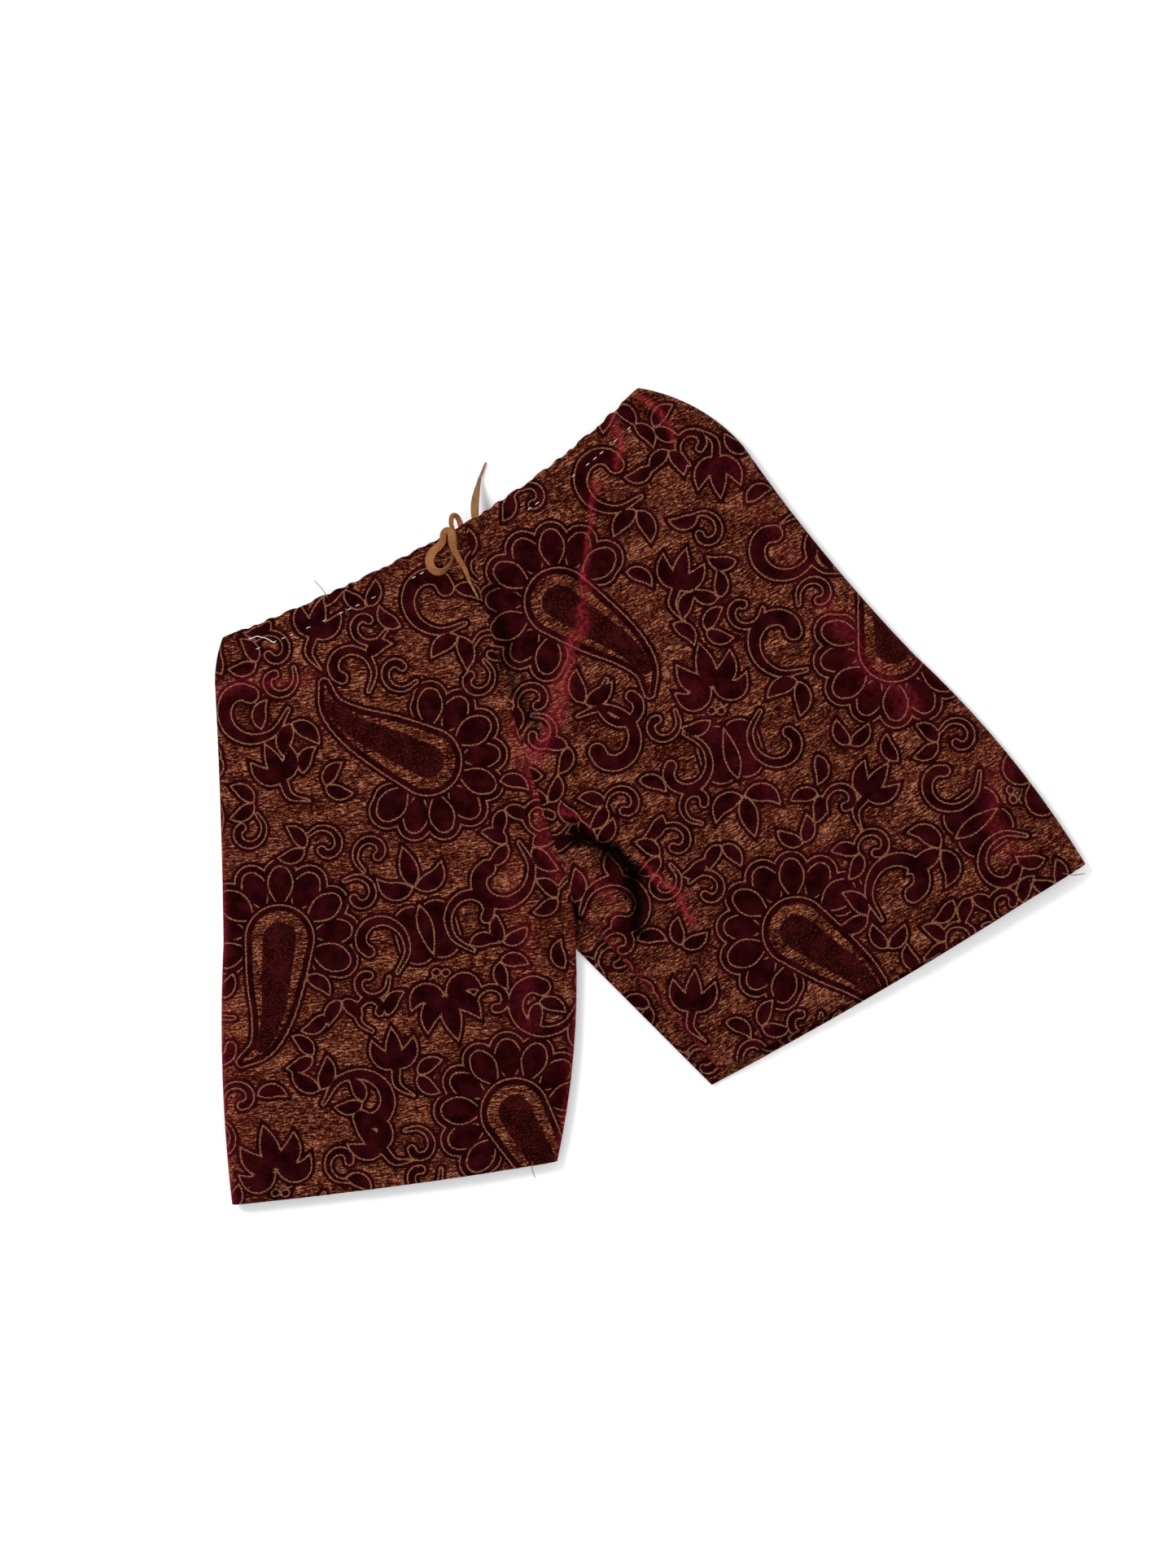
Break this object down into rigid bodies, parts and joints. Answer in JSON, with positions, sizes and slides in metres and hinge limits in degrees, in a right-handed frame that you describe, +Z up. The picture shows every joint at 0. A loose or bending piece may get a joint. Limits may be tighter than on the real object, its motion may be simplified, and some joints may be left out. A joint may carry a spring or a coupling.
{
  "type": "drawstring shorts",
  "caption": "Loose home-sewn drawstring shorts of patterned chenille jacquard cloth, lying flat front up, with a flat lace through a turned waist casing.",
  "frame": {"origin": "under the middle of the garment's plan box, on the surface that it lies on (lace ends left out)", "axes": "+Z up, front of the garment up; +Y up the centre-front seam from crotch to waist; +X to the wearer's left"},
  "size_m": [0.6722, 0.529, 0.0238],
  "materials": {
    "chenille_cloth": "dark burgundy chenille pile motifs on a streaked old-gold ground, with a crimson sheen on the folds",
    "casing_thread": "white sewing thread",
    "hem_thread": "dark red sewing thread",
    "drawstring_lace": "mustard flat woven cotton lace",
    "aglet_plastic": "brown translucent plastic lace tip"
  },
  "bodies": {
    "left_half": {"left_front_panel": "chenille_cloth", "left_back_panel": "chenille_cloth", "left_front_casing": "chenille_cloth", "left_back_casing": "chenille_cloth", "left_leg_hem": "chenille_cloth", "left_side_seam": "chenille_cloth", "left_inseam": "chenille_cloth", "left_casing_stitches": "casing_thread", "left_hem_stitches": "hem_thread", "left_drawstring_run": "drawstring_lace", "centre_front_seam": "chenille_cloth", "centre_back_seam": "chenille_cloth"},
    "right_half": {"right_front_panel": "chenille_cloth", "right_back_panel": "chenille_cloth", "right_front_casing": "chenille_cloth", "right_back_casing": "chenille_cloth", "right_leg_hem": "chenille_cloth", "right_side_seam": "chenille_cloth", "right_inseam": "chenille_cloth", "right_casing_stitches": "casing_thread", "right_hem_stitches": "hem_thread", "right_drawstring_run": "drawstring_lace"},
    "left_lace_end": {"left_drawstring_tail": "drawstring_lace", "left_aglet": "aglet_plastic"},
    "right_lace_end": {"right_drawstring_tail": "drawstring_lace", "right_aglet": "aglet_plastic"}
  },
  "joints": [
    {"name": "fold_in_half", "type": "hinge", "parent": "left_half", "child": "right_half", "pos_m": [-0.03204, 0, 0.0249], "axis": [0, 1, 0], "range_deg": [0, 175]},
    {"name": "left_lace_pull", "type": "slide", "parent": "left_half", "child": "left_lace_end", "axis": [0.2879, 0.9577, 0], "range_m": [0, 0.012]},
    {"name": "right_lace_pull", "type": "slide", "parent": "right_half", "child": "right_lace_end", "axis": [0, 0.9999, 0.014], "range_m": [0, 0.012]}
  ]
}
